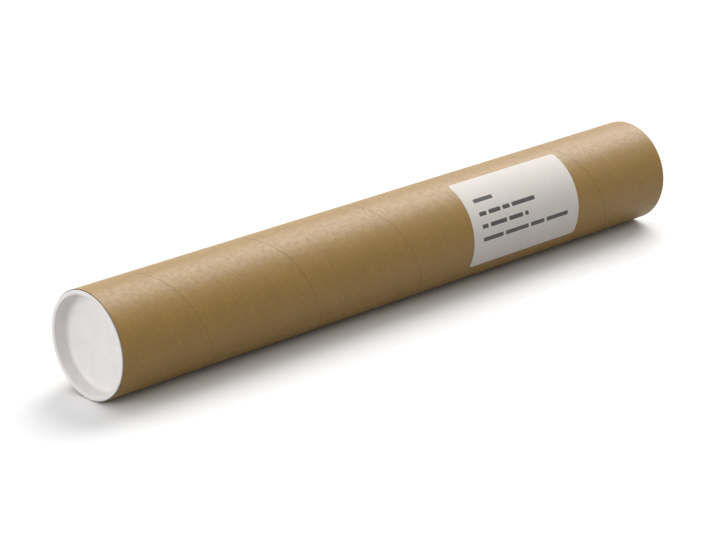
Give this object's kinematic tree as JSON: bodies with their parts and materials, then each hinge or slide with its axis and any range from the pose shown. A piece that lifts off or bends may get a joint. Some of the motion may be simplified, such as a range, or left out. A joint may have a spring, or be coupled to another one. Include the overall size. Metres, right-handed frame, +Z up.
{
  "type": "cardboard mailing tube",
  "caption": "Spiral-wound kraft board mailing tube lying on its side, with a recessed plastic cap pushed into each end and an address label on its side.",
  "frame": {"origin": "on the surface that the tube lies on, under the middle of its length", "axes": "+X along the tube from its front end to its rear end, +Z up, and -Y to the side that carries the address label"},
  "size_m": [0.442, 0.0641, 0.0639],
  "materials": {
    "kraft_board": "matte",
    "white_plastic": "satin",
    "label_paper": "matte"
  },
  "bodies": {
    "tube": {"tube": "kraft_board", "address_label": "label_paper"},
    "front_cap": {"front_end_cap": "white_plastic"},
    "rear_cap": {"rear_end_cap": "white_plastic"}
  },
  "joints": [
    {"name": "front_cap_pull", "type": "slide", "parent": "tube", "child": "front_cap", "axis": [-1, 0, 0], "range_m": [0, 0.07]},
    {"name": "rear_cap_pull", "type": "slide", "parent": "tube", "child": "rear_cap", "axis": [1, 0, 0], "range_m": [0, 0.07]}
  ]
}
